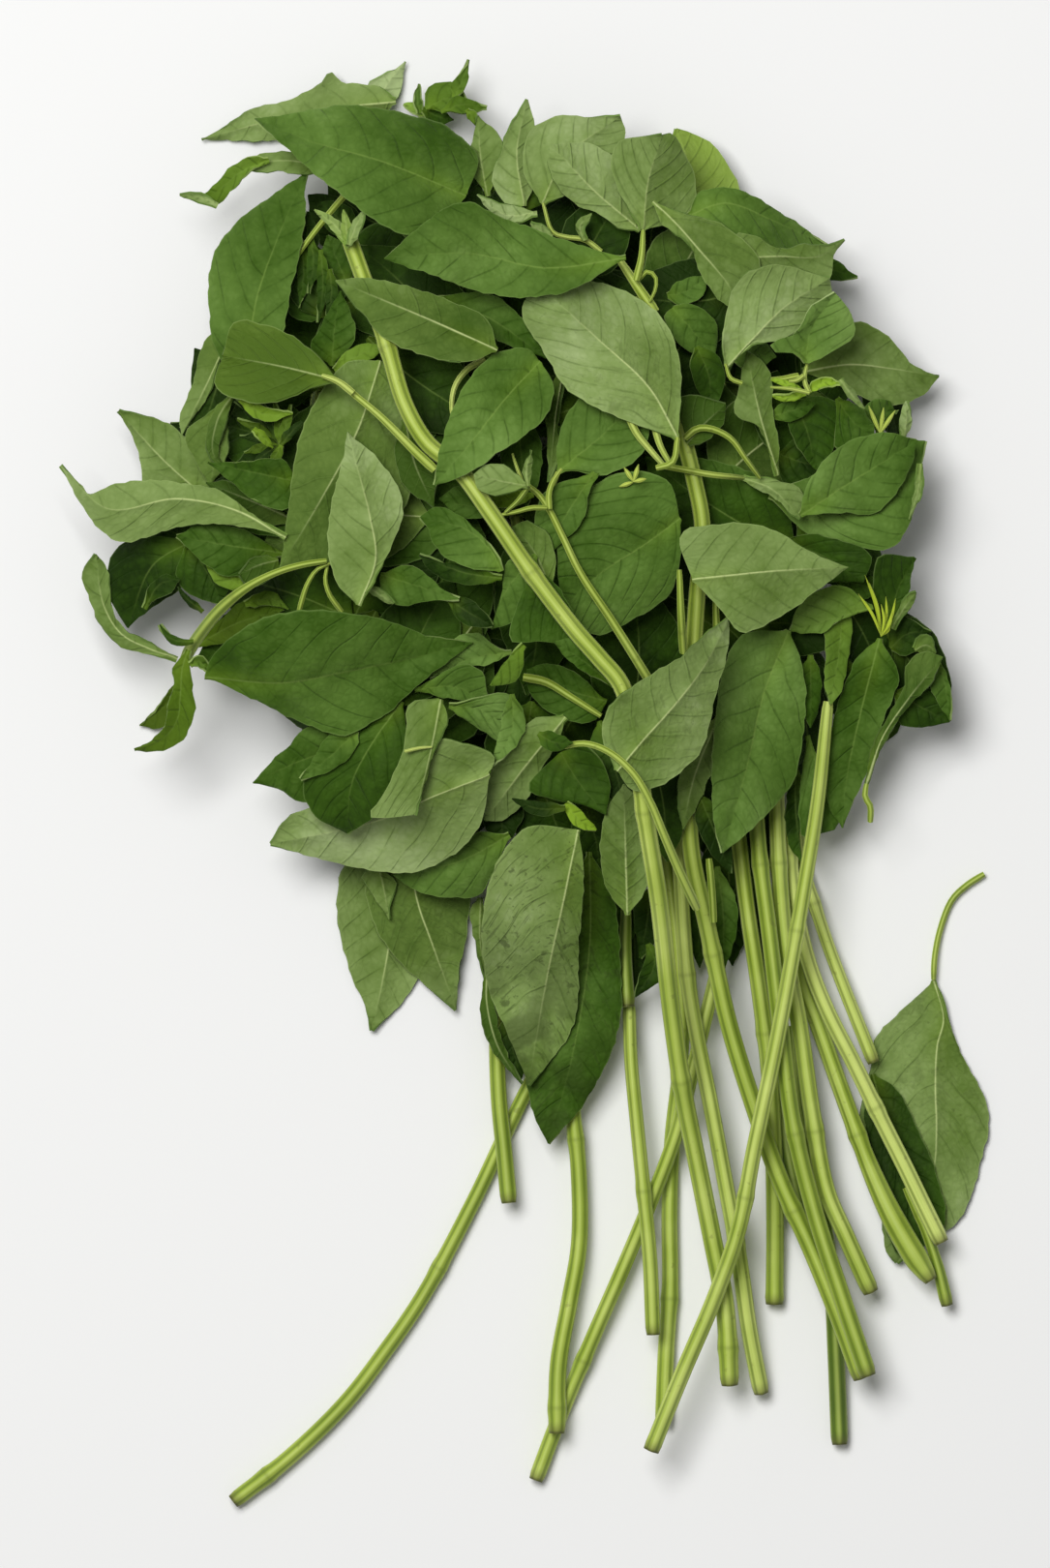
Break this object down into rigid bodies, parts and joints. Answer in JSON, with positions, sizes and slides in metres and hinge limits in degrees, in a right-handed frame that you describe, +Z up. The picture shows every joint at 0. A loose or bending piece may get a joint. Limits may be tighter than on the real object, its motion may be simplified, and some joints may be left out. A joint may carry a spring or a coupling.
{
  "type": "hairy basil bunch",
  "caption": "Loose bunch of fresh hairy basil lying flat: leafy head of pointed, veined green leaves over a fan of bare cut stems.",
  "frame": {"origin": "on the surface that the bunch lies on, under the middle of its bounding box", "axes": "+Z up; +Y along the bunch from the cut stems to the leafy head; +X to the right as seen from above with the head away"},
  "size_m": [0.1921, 0.2992, 0.0416],
  "materials": {
    "leaf_face": "matte, quilted upper face of a leaf",
    "leaf_underside": "matte, pale underside of a leaf with raised veins and fine hairs",
    "young_leaf": "soft, thin young leaf",
    "stem": "smooth ribbed green stem with fine hairs"
  },
  "bodies": {
    "root": {"leaf_arch": "leaf_face", "leaf_bright_centre": "leaf_face", "leaf_bruised": "leaf_underside", "leaf_centre_big": "leaf_face", "leaf_centre_bruised": "leaf_underside", "leaf_centre_left": "leaf_underside", "leaf_crown": "leaf_face", "leaf_dark_curl": "leaf_face", "leaf_drooping_shoot": "young_leaf", "leaf_elliptic": "leaf_underside", "leaf_fallen": "leaf_underside", "leaf_hang_left": "leaf_underside", "leaf_hang_right": "leaf_underside", "leaf_hip": "leaf_face", "leaf_left_big": "leaf_face", "leaf_left_centre": "leaf_underside", "leaf_left_shoulder": "leaf_face", "leaf_left_wing": "leaf_underside", "leaf_long_left": "leaf_underside", "leaf_olive": "leaf_face", "leaf_pale_lower_left": "leaf_underside", "leaf_ribbon": "leaf_face", "leaf_right_big": "leaf_face", "leaf_right_cup": "leaf_face", "leaf_right_dewy": "leaf_face", "leaf_right_shoulder": "leaf_underside", "leaf_right_shoulder_tip": "leaf_underside", "leaf_saddle": "leaf_underside", "leaf_side_fan": "leaf_underside", "leaf_side_fold": "leaf_underside", "leaf_striped": "leaf_underside", "leaf_top_fan": "leaf_underside", "leaf_top_left": "leaf_underside", "leaf_top_tip": "leaf_underside", "leaf_torn_dark": "leaf_face", "leaf_under_bruised": "leaf_face", "leaf_upright_pale": "leaf_underside", "leaf_veined_right": "leaf_underside", "shoot_centre": "leaf_face", "shoot_left": "leaf_face", "shoot_right": "leaf_face", "stem_a": "stem", "stem_b": "stem", "stem_c": "stem", "stem_d": "stem", "stem_e": "stem", "stem_f": "stem", "stem_g": "stem", "stem_h": "stem", "stem_i": "stem", "stem_j": "stem", "stem_k": "stem", "stem_l": "stem", "stem_m": "stem", "stem_n": "stem", "stem_o": "stem", "stem_p": "stem", "stem_q": "stem", "stem_r": "stem", "stem_side_left": "stem"}
  },
  "joints": []
}
